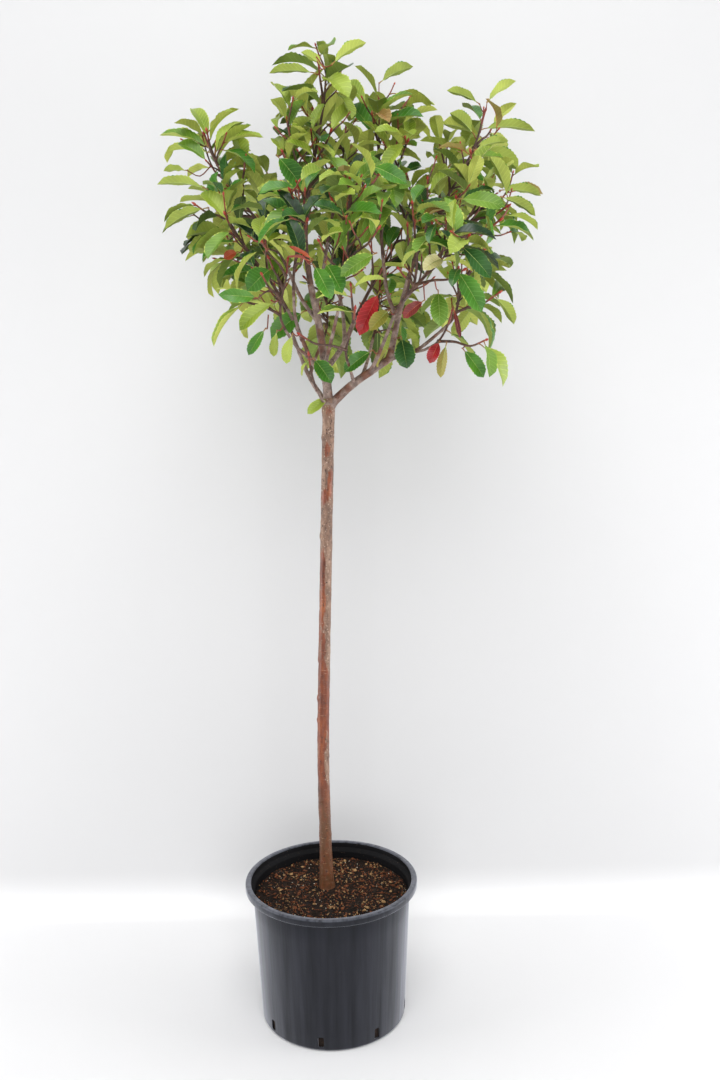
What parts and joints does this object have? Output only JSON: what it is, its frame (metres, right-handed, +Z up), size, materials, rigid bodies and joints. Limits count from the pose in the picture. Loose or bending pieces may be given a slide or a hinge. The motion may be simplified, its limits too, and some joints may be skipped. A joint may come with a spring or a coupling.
{
  "type": "potted photinia red robin half-standard tree",
  "caption": "Photinia Red Robin grown as a half-standard: slender bare stem with an open round leafy crown, in a round black plant pot of compost",
  "frame": {"origin": "middle of the pot's flat underside", "axes": "+Z up along the stem; the picture's front is -Y and its right is +X"},
  "size_m": [0.62, 0.5286, 1.6556],
  "materials": {
    "black_plastic": "black moulded plastic, satin, with fine vertical flow marks",
    "compost": "moist bark compost with paler chips",
    "trunk_bark": "smooth young bark, red-brown below and grey-mauve above, with fine cross marks",
    "bough_bark": "smooth grey-pink bark with small leaf scars",
    "green_leaf": "leathery green leaf, satin upper side, paler and duller underside",
    "new_leaf": "younger yellow-green leaf, satin",
    "red_leaf": "crimson and red-brown leaf, satin",
    "red_stalk": "red leaf stalks and buds",
    "young_twig": "smooth red-brown young shoot",
    "bark_chip": "tan bark chips, dry",
    "perlite": "small white grains, matte"
  },
  "bodies": {
    "root": {"pot": "black_plastic", "soil": "compost", "trunk": "trunk_bark", "bough_centre": "bough_bark", "bough_right": "bough_bark", "bough_right_up": "bough_bark", "bough_right_inner": "bough_bark", "bough_right_middle": "bough_bark", "bough_right_low": "bough_bark", "bough_front_right": "bough_bark", "bough_front_low": "bough_bark", "bough_front": "bough_bark", "bough_left": "bough_bark", "bough_left_low": "bough_bark", "bough_left_up": "bough_bark", "bough_front_left": "bough_bark", "bough_back_right": "bough_bark", "bough_back": "bough_bark", "bough_back_left": "bough_bark", "bough_top_back": "bough_bark", "bough_inner_left": "bough_bark", "bough_inner_right": "bough_bark", "bough_hanging": "bough_bark", "bough_fork": "bough_bark", "foliage_top_left": "green_leaf", "foliage_top_right": "green_leaf", "foliage_top_back": "green_leaf", "foliage_right_top": "green_leaf", "foliage_right_middle": "green_leaf", "foliage_right_low": "green_leaf", "foliage_front_right": "green_leaf", "foliage_front_low": "green_leaf", "foliage_front": "green_leaf", "foliage_front_left": "green_leaf", "foliage_left_top": "green_leaf", "foliage_left_middle": "green_leaf", "foliage_left_low": "green_leaf", "foliage_back_left": "green_leaf", "foliage_back": "green_leaf", "foliage_back_right": "green_leaf", "foliage_inner_left": "green_leaf", "foliage_inner_right": "green_leaf", "foliage_right_hanging": "green_leaf", "foliage_fork": "green_leaf"}
  },
  "joints": []
}
